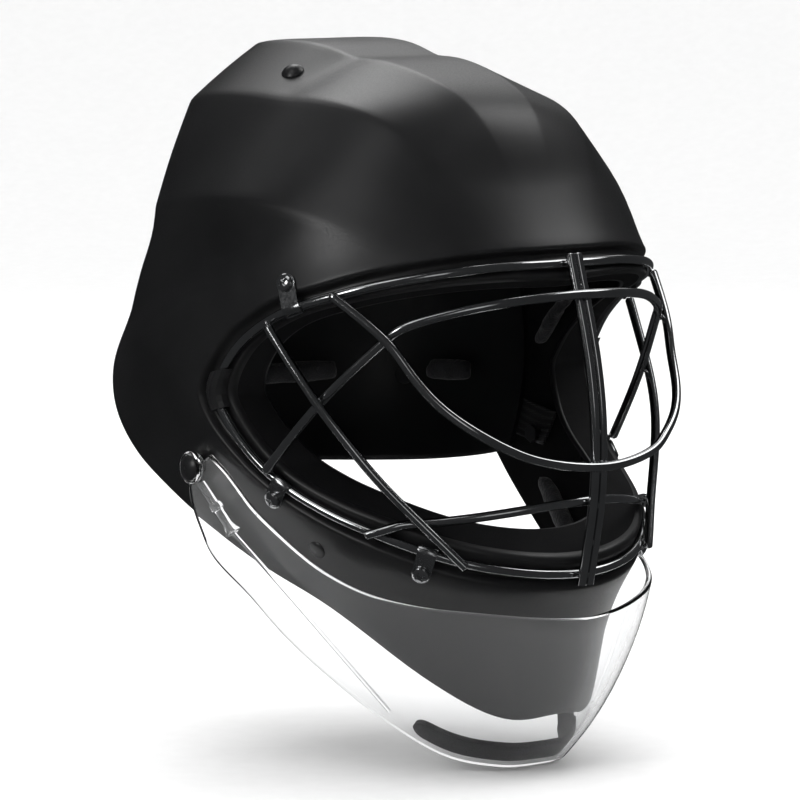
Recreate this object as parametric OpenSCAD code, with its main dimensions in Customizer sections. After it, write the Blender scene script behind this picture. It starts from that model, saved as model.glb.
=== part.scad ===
// Field hockey goalkeeper helmet: one-piece front shell with a chin, welded wire
// cage on clips, sliding back plate, foam pads and a clear swinging throat guard.
// Millimetres. The helmet faces -Y, +Z is up, +X is the wearer's left, and the
// origin is the middle of the wearer's head at eye level.

/* [Shell] */
// Width of the front shell at eye level, outside
shell_width = 234; // [220:1:250]
// Reach of the front shell from the middle of the head to the cage ring line
front_reach = 150; // [142:1:160]
// Height of the crown above eye level
crown_height = 160; // [152:1:170]
// Thickness of the moulded shell
shell_wall = 4; // [3:0.5:5]

/* [Face opening] */
// Depth of the ledge that the cage lies on, below the outer skin
ledge_depth = 5; // [4:0.5:6]
// Distance from the cage ring to the step above it, at the brow
ledge_width = 8; // [7.5:0.25:9]
// Distance from the cage ring to the turned-in lip
lip_offset = 7; // [6:0.5:8]
// Scale of the lip's depth, 1 is the moulded shell
lip_scale = 1; // [0.7:0.05:1.1]

/* [Cage] */
// Diameter of the cage wire
wire_d = 4.4; // [4:0.1:5]
// Width of a cage clip's strap
clip_width = 9; // [8:0.5:10]
// Thickness of a cage clip's strap
clip_thickness = 1.2; // [1:0.1:1.5]
// Distance from the cage ring to the screw of the jaw and chin clips
clip_reach = 9.5; // [9:0.25:12]
// Distance along the shell from the cage ring to the screw of the upper clips
upper_clip_reach = 28; // [27:0.5:30]

/* [Fasteners] */
// Thread diameter of the clip screws
screw_d = 4; // [3:0.5:5]
// Head diameter of the clip screws
screw_head_d = 8; // [7:0.5:9]
// Head height of the clip screws
screw_head_h = 2.8; // [2:0.2:3.4]
// Flange diameter of the nuts inside the shell
nut_d = 9; // [8:0.5:10.5]
// Diameter of the domed crown rivets
rivet_d = 11; // [9:0.5:13]
// Diameter of the chin-strap plugs low on the jaw
plug_d = 9; // [8:0.5:11]

/* [Pads] */
// Thickness of the foam pads
pad_thickness = 16; // [12:1:20]
// Gap between a pad and the shell behind it
pad_gap = 1; // [0.9:0.05:1.2]
// Distance from the cage ring to the brow pad
brow_setback = 19.5; // [19:0.5:23]
// Height of the brow pad, along the shell
brow_pad_height = 36; // [30:1:42]
// Length of the crown pad, from front to back
crown_pad_length = 68; // [56:1:76]
// Distance along the shell from the cage ring to the temple pads
temple_setback = 26; // [25:0.5:29]
// Height of the temple pads, along the shell
temple_pad_height = 20; // [17:1:22]
// Height of the jaw pads, along the shell
jaw_pad_height = 19; // [15:1:22]
// Height of the chin pad, along the shell
chin_pad_height = 26; // [20:1:30]

/* [Back plate] */
// Thickness of the back plate
plate_wall = 3.5; // [3:0.5:5]
// Room between the back plate and the shell that it slides in
plate_room = 4; // [3.5:0.25:6]
// Distance from the middle of the head to the back of the plate
plate_reach = 119; // [116:1:126]
// Thickness of the strap webbing
strap_thickness = 1.6; // [1.2:0.2:2]
// Width of the strap webbing
strap_width = 22; // [16:1:26]

/* [Throat guard] */
// Thickness of the clear throat guard
guard_wall = 3; // [2.5:0.5:4]
// Diameter of the pins that the throat guard swings on
pin_d = 5; // [4:0.5:6]
// Running clearance between a pin and the guard's hole
pin_gap = 0.08; // [0.04:0.01:0.1]
// Thickness of the foam edge strip inside the guard
strip_thickness = 3; // [2:0.5:4]
// Diameter of the clear cords that tie the guard to its hooks
cord_d = 1.8; // [1.4:0.2:2.2]

/* [Hidden] */
$fn = 40;

black = "#202124";
dark_foam = "#2b2b2e";
chrome = "#8f9499";
clear_plastic = "#d8e4ea";

// Reach of the skin by elevation: front, side and back in mm, then the roundness
// (superellipse exponent) of the front half and of the rear half.
skin_low = -60;
skin_step = 15;
skin_rows = [
    [204, 125, 118, 2.1, 3.0],
    [160, 121, 132, 2.1, 3.0],
    [152, 115, 148, 2.1, 3.1],
    [150, 114, 163, 2.1, 3.2],
    [150, 117, 163, 2.1, 3.0],
    [147, 119, 165, 2.1, 2.7],
    [134, 125, 170, 2.1, 2.4],
    [135, 142, 174, 2.1, 2.2],
    [150, 149, 178, 2.0, 2.2],
    [154, 150, 166, 2.0, 2.2],
    [160, 160, 160, 2.0, 2.0]];
eye_row = 4;

// Columns of the shell, from the middle of the brow round the wearer's right side to
// the middle of the chin: the cage ring's direction and the shell edge's direction,
// each as heading and elevation in degrees, then the depth of the turned-in lip and
// the width of the ledge as a share of its width at the brow.
columns = [
    [[0, 27.3], [180, 65.5], 14, 1],
    [[2, 27.3], [157.5, 63.7], 14, 1],
    [[11, 27.2], [136.4, 52.4], 14, 1],
    [[32, 26], [121.7, 35], 14, 0.94],
    [[52, 23], [121.7, 22.3], 14, 0.82],
    [[69, 18.5], [122.7, 11.9], 16, 0.82],
    [[81, 11], [125.1, 0.3], 20, 1],
    [[87.5, 1], [124.8, -7.3], 23, 1.33],
    [[85.5, -6], [121.5, -15], 24, 1.22],
    [[79, -14.5], [115.3, -22.7], 24, 0.8],
    [[70, -21], [106.6, -31.4], 24, 0.63],
    [[58, -25.7], [88.3, -42.8], 24, 0.65],
    [[44, -28.7], [62, -49.7], 24, 0.72],
    [[29, -31], [34, -53.4], 24, 0.75],
    [[14, -32.1], [14, -53.9], 24, 0.75],
    [[0, -32.6], [0, -53], 24, 0.75]];
last_column = len(columns) - 1;
// The columns that carry the creases of the crown, and where the creases begin
last_crease = 3;
crease_start = 0.15;
crease_full = 0.6;
// Near the rear edge the creases soften to this share
crease_fade = 0.7;
crease_at_edge = 0.8;
// A groove opens under the last crease: where it starts, the share of the column that
// it deepens over, its width in columns for each share, its depth and its way back
flute_start = 0.35;
flute_run = 0.2;
flute_spread = 2.6;
flute_depth = 2.2;
flute_return = 1.1;

scale_x = shell_width / (2 * skin_rows[eye_row][1]);
scale_y = front_reach / skin_rows[eye_row][0];
scale_z = crown_height / skin_rows[len(skin_rows) - 1][0];

// Vectors and curves
function lerp(a, b, t) = a + (b - a) * t;
function clamp(v, low, high) = max(low, min(high, v));
function smooth(t) = let (c = clamp(t, 0, 1)) c * c * (3 - 2 * c);
function unit(v) = v / norm(v);
function mirrored(p) = [-p[0], p[1], p[2]];
function fitted(p) = [p[0] * scale_x, p[1] * scale_y, p[2] * scale_z];
function heading(az, el) = [-sin(az) * cos(el), -cos(az) * cos(el), sin(el)];
function spline(a, b, c, d, t) =
    let (square = 2 * a - 5 * b + 4 * c - d, cube_part = 3 * b - a - 3 * c + d)
    0.5 * (2 * b + (c - a) * t + square * t * t + cube_part * t * t * t);
function along(points, u) =
    let (n = len(points) - 1, i = clamp(floor(u), 0, n - 1))
    spline(points[max(0, i - 1)], points[i], points[i + 1], points[min(n, i + 2)], u - i);
function swing(a, b, t) = let (w = acos(a * b)) (sin((1 - t) * w) * a + sin(t * w) * b) / sin(w);

// Skin of the helmet
function reach_in(rows, low, d) =
    let (m = along(rows, (asin(d[2]) - low) / skin_step),
         flat = max(norm([d[0], d[1]]), 0.000001),
         front = d[1] < 0,
         reach = front ? m[0] : m[2],
         power = front ? m[3] : m[4])
    pow(pow(abs(d[0]) / flat / m[1], power) + pow(abs(d[1]) / flat / reach, power), -1 / power);
function column(i, end) =
    i < 0 ? mirrored(column(-i, end))
    : i > last_column ? mirrored(column(2 * last_column - i, end))
    : heading(columns[i][end][0], columns[i][end][1]);
function direction(u, end) =
    let (i = floor(u))
    unit(spline(column(i - 1, end), column(i, end), column(i + 1, end), column(i + 2, end), u - i));
function near_side(u) = abs(u) > last_column ? 2 * last_column - abs(u) : abs(u);
function arc_length(u) =
    let (a = direction(near_side(u), 0), b = direction(near_side(u), 1))
    acos(a * b) * PI / 180 * norm(fitted(a * reach_in(skin_rows, skin_low, a)));
function round_skin(u, t) =
    let (d = swing(direction(u, 0), direction(u, 1), t))
    fitted(unit(d) * reach_in(skin_rows, skin_low, unit(d)));
// The crown's facets run straight between the crease columns and fade to the front
function facet(u, t) =
    u < 1 ? lerp(mirrored(round_skin(1, t)), round_skin(1, t), (1 + u) / 2)
    : lerp(round_skin(floor(u), t), round_skin(floor(u) + 1, t), u - floor(u));
function crease_weight(t) =
    smooth((t - crease_start) / (crease_full - crease_start))
    * lerp(1, crease_at_edge, smooth((t - crease_fade) / (1 - crease_fade)));
function flute(u, t) =
    let (width = flute_spread * max(t - flute_start, 0.001),
         across = (u - last_crease) / width)
    flute_depth * smooth((t - flute_start) / flute_run)
    * (across < 1 ? across : 1 - smooth((u - last_crease - width) / flute_return));
function right_skin(u, t) =
    let (p = round_skin(u, t))
    u >= last_crease ? p - unit(p) * flute(u, t)
    : t <= crease_start ? p
    : lerp(p, facet(u, t), crease_weight(t));
// Any point: column u (minus on the wearer's left), t along the column, height off the skin
function skin(u, t, height) =
    let (p = u < 0 ? mirrored(right_skin(-u, t))
             : u > last_column ? mirrored(right_skin(2 * last_column - u, t)) : right_skin(u, t))
    p + unit(p) * height;
function skin_mm(u, mm, height) = skin(u, mm / arc_length(u), height);
function at_column(u, item) =
    let (v = near_side(u), i = min(floor(v), last_column - 1))
    lerp(columns[i][item], columns[i + 1][item], v - i);
function lip_depth(u) = lip_scale * at_column(u, 2);
function ledge(u) = ledge_width * at_column(u, 3);
// Columns leave the ring at a slant: a distance square to the ring, along the column
function slanted(u, mm) =
    let (ring_way = skin_mm(u + 0.1, 0, 0) - skin_mm(u - 0.1, 0, 0),
         ahead = skin_mm(u, 4, 0) - skin_mm(u, 0, 0))
    mm / norm(cross(unit(ring_way), unit(ahead)));

function surface_ahead(u, mm) = unit(skin_mm(u, mm + 3, 0) - skin_mm(u, mm - 3, 0));
function surface_normal(u, mm) =
    unit(cross(surface_ahead(u, mm), skin_mm(u + 0.1, mm, 0) - skin_mm(u - 0.1, mm, 0)));

// Solids from point grids
function quad(a, b, c, d) = [[a, b, c], [a, c, d]];
module closed_loft(rings) {
    n = len(rings);
    m = len(rings[0]);
    polyhedron([for (r = rings) each r],
        [for (i = [0:n - 1], j = [0:m - 1])
            let (k = (i + 1) % n, l = (j + 1) % m)
            each quad(i * m + j, i * m + l, k * m + l, k * m + j)]);
}
module capped_loft(rings) {
    n = len(rings);
    m = len(rings[0]);
    middles = [for (r = [rings[0], rings[n - 1]]) [for (k = [0:m - 1]) 1 / m] * r];
    polyhedron([for (r = rings) each r, each middles],
        [for (j = [0:m - 1]) let (l = (j + 1) % m) each
            [[n * m, l, j], [n * m + 1, (n - 1) * m + j, (n - 1) * m + l]],
         for (i = [0:n - 2], j = [0:m - 1])
            let (l = (j + 1) % m) each quad(i * m + j, i * m + l, (i + 1) * m + l, (i + 1) * m + j)]);
}
// A slab between two grids of equal size, walled round its rim
module slab(top, bottom) {
    n = len(top);
    m = len(top[0]);
    rim = [for (j = [0:m - 1]) [0, j], for (i = [1:n - 1]) [i, m - 1],
           for (j = [1:m - 1]) [n - 1, m - 1 - j], for (i = [1:n - 2]) [n - 1 - i, 0]];
    polyhedron([for (r = top) each r, for (r = bottom) each r],
        [for (i = [0:n - 2], j = [0:m - 2])
            let (k = i * m + j) each quad(k, k + m, k + m + 1, k + 1),
         for (i = [0:n - 2], j = [0:m - 2])
            let (k = (n + i) * m + j) each quad(k, k + 1, k + m + 1, k + m),
         for (k = [0:len(rim) - 1])
            let (a = rim[k], b = rim[(k + 1) % len(rim)], p = a[0] * m + a[1], q = b[0] * m + b[1])
            each quad(p, q, n * m + q, n * m + p)]);
}
// A round wire along points, with flat ends
module wire(points, d, sides) {
    n = len(points);
    tangents = [for (i = [0:n - 1]) unit(points[min(n - 1, i + 1)] - points[max(0, i - 1)])];
    capped_loft([for (i = [0:n - 1])
        let (side = unit(cross(tangents[i], unit(points[i]))), up = cross(side, tangents[i]))
        [for (k = [0:sides - 1])
            points[i] + (cos(360 * k / sides) * side + sin(360 * k / sides) * up) * d / 2]]);
}
function curve(points, steps) =
    [for (i = [0:steps]) along(points, i * (len(points) - 1) / steps)];
module both_sides() {
    children();
    mirror([1, 0, 0]) children();
}
// Puts its children at a column and distance from the ring, +Z off the skin and +X
// away from the face opening
module on_skin(u, mm) {
    here = skin_mm(u, mm, 0);
    x = surface_ahead(u, mm);
    z = surface_normal(u, mm);
    y = cross(z, x);
    multmatrix([[x[0], y[0], z[0], here[0]], [x[1], y[1], z[1], here[1]],
                [x[2], y[2], z[2], here[2]]]) children();
}

// Places that several pieces share
hole_gap = 0.15;
seat_gap = 0.05;
standard_wire = 4.4;
ring_height = -ledge_depth + wire_d / 2 + 0.3;
screw_places = [[4.1, upper_clip_reach], [10.15, clip_reach], [12.65, clip_reach]];
screw_boss_d = 11;
screw_seat = ledge_depth + shell_wall + 0.5;
step_run = 2.2;
// Halfway between the ring and the foot of the step
saddle_screw = [7.15, slanted(7.15, (ledge(7.15) - step_run + wire_d / 2 + 0.8) / 2)];
saddle_screw_d = 3;
rivet_place = [1.53, 0.8 * arc_length(1.53)];
plug_place = [11.33, 24.5];
rivet_shank_d = 5;
plug_shank_d = 6;
guard_pin = fitted([-113, 15.5, -36.5]);
boss_d = 13;
boss_depth = 3;
module at_guard_pin() {
    translate(guard_pin) rotate([0, -90, 0]) children();
}

// Shell: one continuous section swept round the face opening, from the outer edge over
// the crown or jaw, down the step to the ledge, round the lip and back along the inside
steps_per_column = 3;
outer_steps = 12;
function shell_section(u) =
    let (run = arc_length(u),
         lip_bottom = -ledge_depth - lip_depth(u),
         step = ledge(u),
         outside = slanted(u, step + 1.5),
         inside = slanted(u, step + shell_wall))
    [for (i = [0:outer_steps - 1]) skin(u, lerp(1, outside / run, i / (outer_steps - 1)), 0),
     skin_mm(u, slanted(u, step), -0.6),
     skin_mm(u, slanted(u, step - 1), -ledge_depth + 0.8),
     skin_mm(u, slanted(u, step - step_run), -ledge_depth),
     skin_mm(u, -lip_offset + 3, -ledge_depth),
     skin_mm(u, -lip_offset + 1, -ledge_depth - 1.2),
     skin_mm(u, -lip_offset, lip_bottom),
     skin_mm(u, -lip_offset + shell_wall, lip_bottom),
     skin_mm(u, -lip_offset + shell_wall, -ledge_depth - shell_wall),
     skin_mm(u, slanted(u, step - step_run), -ledge_depth - shell_wall),
     for (i = [0:outer_steps - 1]) skin(u, lerp(inside / run, 1, i / (outer_steps - 1)), -shell_wall),
     skin_mm(u, run + 0.8, -shell_wall / 2)];
module front_shell() {
    color(black)
    difference() {
        union() {
            closed_loft([for (i = [0:2 * last_column * steps_per_column - 1])
                shell_section(i / steps_per_column - last_column)]);
            both_sides() {
                at_guard_pin() translate([0, 0, -boss_depth - 4]) cylinder(d = boss_d, h = 4);
                for (p = screw_places) on_skin(p[0], p[1])
                    translate([0, 0, -screw_seat])
                        cylinder(d = screw_boss_d, h = screw_seat - shell_wall + 0.5);
            }
        }
        both_sides() {
            for (p = screw_places) on_skin(p[0], p[1]) bore(screw_d);
            on_skin(saddle_screw[0], saddle_screw[1]) bore(saddle_screw_d);
            on_skin(rivet_place[0], rivet_place[1]) bore(rivet_shank_d);
            on_skin(plug_place[0], plug_place[1]) bore(plug_shank_d);
            at_guard_pin() bore(pin_d);
        }
    }
}
module bore(d) {
    cylinder(d = d + 2 * hole_gap, h = 30, center = true);
}

// Pads: crowned foam blocks glued inside the shell. `place` gives the point at a
// column, a distance and a depth below the surface that carries the pad.
cushion_rings = [[0.5, 0], [0.9, 0], [0.98, 0.15], [1, 0.38], [0.97, 0.62], [0.86, 0.84],
                 [0.62, 0.96], [0.3, 1]];
module cushion(place, middle, half, thickness, corners = 24) {
    capped_loft([for (r = cushion_rings) [for (k = [0:corners - 1])
        let (c = cos(360 * k / corners), s = -sin(360 * k / corners))
        place(middle[0] + half[0] * r[0] * sign(c) * sqrt(abs(c)),
              middle[1] + half[1] * r[0] * sign(s) * sqrt(abs(s)),
              thickness * r[1])]]);
}
under_shell = function (u, mm, depth) skin_mm(u, mm, -shell_wall - pad_gap - depth);
module brow_pad() {
    half = brow_pad_height / 2;
    color(dark_foam) cushion(under_shell, [0, brow_setback + half], [3.5, half], pad_thickness, 40);
}
module crown_pad() {
    middle = 0.523 * arc_length(0);
    color(dark_foam) cushion(under_shell, [0, middle], [1.9, crown_pad_length / 2], pad_thickness, 32);
}
module temple_pads() {
    half = temple_pad_height / 2;
    color(dark_foam) both_sides()
        cushion(under_shell, [5.6, temple_setback + half], [0.95, half], pad_thickness);
}
module jaw_pads() {
    half = jaw_pad_height / 2;
    behind_plug = plug_place[1] + plug_shank_d / 2 + 8;
    color(dark_foam) both_sides()
        cushion(under_shell, [11.3, behind_plug + half], [1.1, half], pad_thickness);
}
module chin_pad() {
    half = chin_pad_height / 2;
    behind_clips = clip_reach + screw_boss_d / 2 + 8;
    color(dark_foam)
        cushion(under_shell, [last_column, behind_clips + half], [1.5, half], pad_thickness * 0.75, 32);
}

// Cage: wires welded where they cross. Each list runs along the wire's middle, and
// `layer` says how many wires deep it lies, so thicker wire still just touches.
function layered(points, layer) =
    [for (p = points) fitted(p) + unit(p) * layer * (wire_d - standard_wire)];
module cage_ring() {
    color(chrome)
    closed_loft([for (i = [0:2 * last_column * steps_per_column - 1])
        let (u = i / steps_per_column - last_column,
             middle = skin_mm(u, 0, ring_height),
             out = unit(middle),
             ahead = unit(skin_mm(u, 3, ring_height) - middle))
        [for (k = [0:7]) middle + (cos(45 * k) * ahead + sin(45 * k) * out) * wire_d / 2]]);
}
bar_spacing = wire_d + 0.2;
centre_bar = [[0, -121.9, 66], [0, -122.9, 61.5], [0, -128, 45], [0, -134.5, 22], [0, -138.5, 0],
              [0, -140, -23], [0, -138.8, -46], [0, -135, -65], [0, -131.4, -82], [0, -130.4, -86]];
module cage_centre_bars() {
    color(chrome) both_sides() translate([bar_spacing / 2, 0, 0])
        wire(curve(layered(centre_bar, 1.5), 18), wire_d, 8);
}
chin_wire = [[-99.4, -67.8, 48.9], [-86.5, -91.5, 29.5], [-80, -101.5, 14], [-73, -113, 0],
             [-62, -124, -11], [-48, -132, -20], [-32, -139.5, -26.5], [0, -144.5, -30.5]];
eye_wire = [[-107.9, -31, -35], [-99.5, -58.5, -2], [-84, -86, 27], [-79, -94, 34],
            [-69, -102.5, 38.5], [-51, -116, 43.5], [-30, -126.5, 46.5], [0, -131.9, 48]];
mouth_wire = [[-87.1, -77.6, -61], [-80.8, -85.1, -58.2], [-74.5, -89.5, -56], [-66, -95.5, -55.5],
              [-50, -110, -53], [-33, -122, -50], [-16, -130.5, -47.5], [0, -134.4, -46.5]];
side_wire = [[-111.9, -38, 33.4], [-109, -46.6, 21], [-102.6, -63.4, -2], [-94.5, -76, -20],
             [-84.5, -86, -37], [-71, -98, -55], [-60.4, -108.4, -69.5], [-55.9, -112.5, -75.4]];
function whole(half) = concat(half, [for (i = [len(half) - 2:-1:0]) mirrored(half[i])]);
module cage_chin_wire() {
    color(chrome) wire(curve(layered(whole(chin_wire), 2.5), 42), wire_d, 8);
}
module cage_eye_wire() {
    color(chrome) wire(curve(layered(whole(eye_wire), 2), 42), wire_d, 8);
}
module cage_mouth_wire() {
    color(chrome) wire(curve(layered(whole(mouth_wire), 0.5), 42), wire_d, 8);
}
module cage_side_wires() {
    color(chrome) both_sides() wire(curve(layered(side_wire, 2.5), 18), wire_d, 8);
}

// Clips: a strap that lies on the shell from its screw to the step and hooks over the
// ring. In the profile X runs away from the face opening and Y is height off the skin.
clip_lift = 0.2;
function nearest_ring(here, u) =
    let (tries = [for (k = [-20:20]) skin_mm(u + k * 0.05, 0, ring_height)],
         far = [for (p = tries) norm(p - here)])
    tries[search(min(far), far)[0]];
module clip(place, width, thickness) {
    here = skin_mm(place[0], place[1], 0);
    ring = nearest_ring(here, place[0]);
    z = surface_normal(place[0], place[1]);
    x = unit((here - ring) - z * ((here - ring) * z));
    y = cross(z, x);
    hook = [(ring - here) * x, (ring - here) * z];
    bore_r = wire_d / 2 + 2 * seat_gap;
    strap = [[0, clip_lift], [hook[0] + ledge(place[0]) + 1.5, clip_lift], hook + [0, bore_r]];
    multmatrix([[x[0], y[0], z[0], here[0]], [x[1], y[1], z[1], here[1]], [x[2], y[2], z[2], here[2]]])
    difference() {
        union() {
            translate([0, 0, clip_lift]) cylinder(d = width, h = thickness);
            rotate([90, 0, 0]) linear_extrude(width, center = true) {
                polygon(concat(strap, [for (i = [len(strap) - 1:-1:0]) strap[i] + [0, thickness]]));
                difference() {
                    translate(hook) circle(bore_r + thickness);
                    translate(hook - [0, bore_r + thickness]) square([4 * bore_r, bore_r + thickness]);
                    translate(hook - [2 * bore_r, 3 * bore_r + 0.8]) square([4 * bore_r, 3 * bore_r]);
                }
            }
        }
        translate([hook[0], 0, hook[1]]) rotate([90, 0, 0])
            cylinder(r = bore_r, h = 2 * width, center = true);
        bore(screw_d);
    }
}
module clip_pair(place) {
    color(chrome) both_sides() clip(place, clip_width, clip_thickness);
}
module upper_clips() {
    clip_pair(screw_places[0]);
}
module jaw_clips() {
    clip_pair(screw_places[1]);
}
module chin_clips() {
    clip_pair(screw_places[2]);
}
// A moulded saddle that bridges the ring at its tip, inside the ledge: distance from
// the ring and height off the skin, over the outside and then round the wire
saddle_seat = -ledge_depth + 0.3;
saddle_bore = wire_d / 2 + 0.4;
function saddle_outside(foot) =
    [[foot, saddle_seat], [foot - 0.2, ring_height + 0.5], [foot * 2 / 3, ring_height + 2.5],
     [2.5, ring_height + saddle_bore + 0.8], [0, ring_height + saddle_bore + 1.1],
     [-2.4, ring_height + saddle_bore + 0.5], [-saddle_bore - 1.3, ring_height + 0.9],
     [-saddle_bore - 1.6, saddle_seat]];
saddle_inside =
    [[saddle_bore + 0.2, saddle_seat], [saddle_bore + 0.15, ring_height - 0.9],
     [saddle_bore, ring_height + 0.4], [saddle_bore - 1, ring_height + 2],
     [0, ring_height + saddle_bore], [1 - saddle_bore, ring_height + 2],
     [-saddle_bore, ring_height + 0.4], [-saddle_bore - 0.2, saddle_seat]];
saddle_columns = [6.55, 7.65];
saddle_steps = 5;
module cage_saddles() {
    function saddle_column(i) = lerp(saddle_columns[1], saddle_columns[0], i / saddle_steps);
    function row(u, outline) = [for (p = outline) skin_mm(u, p[0], p[1])];
    color(black) both_sides() difference() {
        slab([for (i = [0:saddle_steps]) let (u = saddle_column(i))
                row(u, saddle_outside(slanted(u, ledge(u) - step_run - 0.3)))],
             [for (i = [0:saddle_steps]) row(saddle_column(i), saddle_inside)]);
        on_skin(saddle_screw[0], saddle_screw[1])
            translate([0, 0, -7]) cylinder(d = saddle_screw_d + 0.1, h = 5);
    }
}

// Fasteners
module pan_screw(seat) {
    difference() {
        union() {
            translate([0, 0, seat]) rotate_extrude() intersection() {
                translate([0, screw_head_h - screw_head_d]) circle(screw_head_d);
                square([screw_head_d / 2, screw_head_h]);
            }
            translate([0, 0, -screw_seat - 3.4]) cylinder(d = screw_d, h = seat + screw_seat + 3.5);
        }
        for (turn = [45, 135]) translate([0, 0, seat + screw_head_h]) rotate(turn)
            cube([screw_head_d * 0.6, 1, 2.4], center = true);
    }
}
module nut_plate() {
    translate([0, 0, -screw_seat - 1.3]) difference() {
        union() {
            cylinder(d = nut_d, h = 1.2);
            translate([0, 0, -2]) cylinder(d = screw_d + 2.4, h = 2.5);
        }
        translate([0, 0, -3]) cylinder(d = screw_d + 0.1, h = 6);
    }
}
module clip_screws() {
    color(chrome) both_sides() for (p = screw_places) on_skin(p[0], p[1])
        pan_screw(clip_lift + clip_thickness + seat_gap);
}
module clip_nuts() {
    color(chrome) both_sides() for (p = screw_places) on_skin(p[0], p[1]) nut_plate();
}
module saddle_screws() {
    color(chrome) both_sides() on_skin(saddle_screw[0], saddle_screw[1]) {
        translate([0, 0, -screw_seat - 2]) cylinder(d = 2 * saddle_screw_d, h = 1.6);
        translate([0, 0, -screw_seat - 1]) cylinder(d = saddle_screw_d, h = screw_seat - 1.6);
    }
}
// A dome of the given width and height with a shank down to `depth`
module dome_rivet(d, h, shank, depth) {
    radius = (d * d / 4 + h * h) / (2 * h);
    rotate_extrude() intersection() {
        translate([0, h - radius]) circle(radius);
        square([d, h]);
    }
    translate([0, 0, -depth]) cylinder(d = shank, h = depth + 0.1);
    translate([0, 0, -depth - 1.2]) cylinder(d = shank + 4, h = 1.2);
}
module crown_rivets() {
    color(black) both_sides() on_skin(rivet_place[0], rivet_place[1]) translate([0, 0, 0.2])
        dome_rivet(rivet_d, 3, rivet_shank_d, shell_wall + strap_thickness + 2.3);
}
module chin_strap_plugs() {
    color(black) both_sides() on_skin(plug_place[0], plug_place[1]) translate([0, 0, 0.2])
        dome_rivet(plug_d, 1.6, plug_shank_d, shell_wall + 0.8);
}

// Back plate: a bowl that slides out from under the shell to fit the head
plate_rows = [
    [104, 104, 112, 2.6, 2.6],
    [106, 106, 117, 2.6, 2.6],
    [109, 109, 119, 2.6, 2.6],
    [110, 110, 122, 2.5, 2.5],
    [114, 114, 130, 2.4, 2.4],
    [124, 124, 146, 2.3, 2.3],
    [136, 136, 160, 2.2, 2.2],
    [144, 144, 156, 2.2, 2.2]];
plate_low = -30;
plate_eye_row = 2;
plate_x = (shell_width / 2 - shell_wall - plate_room) / plate_rows[plate_eye_row][1];
plate_y = plate_reach / plate_rows[plate_eye_row][2];
function plate_skin(az, el, height) =
    let (d = heading(az, el), r = reach_in(plate_rows, plate_low, d) * d,
         p = [r[0] * plate_x, r[1] * plate_y, r[2] * scale_z])
    p + unit(p) * height;
// Top and bottom edge by heading, from the front corner to the middle of the back
plate_edges = [[106, -24, 40], [110, -25.5, 47], [118, -26.5, 55], [130, -27, 62],
               [145, -27, 67], [162, -27, 70], [180, -27, 71]];
plate_columns = 36;
plate_steps = 9;
function plate_edge(i) =
    let (half = plate_columns / 2,
         v = (half - abs(i - half)) / half,
         e = along(plate_edges, v * (len(plate_edges) - 1)))
    i <= half ? e : [360 - e[0], e[1], e[2]];
function plate_grid(height) =
    [for (i = [0:plate_columns]) let (e = plate_edge(i))
        [for (j = [0:plate_steps]) plate_skin(e[0], lerp(e[1], e[2], j / plate_steps), height)]];
module back_plate() {
    color(black) difference() {
        slab(plate_grid(0), plate_grid(-plate_wall));
        for (a = plate_rivet_places) both_sides() on_plate(a[0], a[1]) bore(rivet_shank_d);
    }
}
module on_plate(az, el) {
    here = plate_skin(az, el, 0);
    up = unit(plate_skin(az, el + 1, 0) - plate_skin(az, el - 1, 0));
    round_way = plate_skin(az + 1, el, 0) - plate_skin(az - 1, el, 0);
    y = unit(round_way - up * (up * round_way));
    z = cross(up, y);
    multmatrix([[up[0], y[0], z[0], here[0]], [up[1], y[1], z[1], here[1]],
                [up[2], y[2], z[2], here[2]]]) children();
}
under_plate = function (az, el, depth) plate_skin(az, el, -plate_wall - pad_gap - depth);
// Middle and half size of the plate's pads, by heading and elevation
back_pad_place = [[180, 26], [44, 14]];
nape_pad_place = [[180, -4.5], [28, 6.5]];
side_pad_place = [[127.5, -4.5], [7.5, 6.5]];
module plate_pad(place, corners) {
    cushion(under_plate, place[0], place[1], pad_thickness * 0.8, corners);
}
module back_pad() {
    color(dark_foam) plate_pad(back_pad_place, 32);
}
module nape_pad() {
    color(dark_foam) plate_pad(nape_pad_place, 32);
}
module plate_side_pads() {
    color(dark_foam) both_sides() plate_pad(side_pad_place, 24);
}

// Straps: elastic webbing from the shell's rivets and pins over the back plate.
// Each point is heading, elevation and height above the plate's outer face.
plate_rivet_places = [[160, 50], [139, -6]];
function plate_place(p, height) =
    let (d = unit([p[0] / plate_x, p[1] / plate_y, p[2] / scale_z]))
    [atan2(-d[0], -d[1]), asin(d[2]), height];
function to_rivet(place) = [place[0], place[1], 0.5];
crown_strap_start = plate_place(skin_mm(rivet_place[0], rivet_place[1], -shell_wall), 0.9);
crown_strap_path = [crown_strap_start + [-8.5, 0.4, 0], crown_strap_start, [128, 68.5, 0.9],
                    [143, 65, 0.7], [153, 58, 0.5], [158, 53, 0.5],
                    to_rivet(plate_rivet_places[0]), to_rivet(plate_rivet_places[0]) + [1, -4, 0]];
side_strap_start = plate_place(guard_pin, 1.4);
side_strap_path = [side_strap_start + [-3.3, -0.6, 0], side_strap_start, [108, -15, 0.8],
                   [120, -10.5, 0.5], [130, -8, 0.5],
                   to_rivet(plate_rivet_places[1]), to_rivet(plate_rivet_places[1]) + [4, 0.5, 0]];
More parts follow.
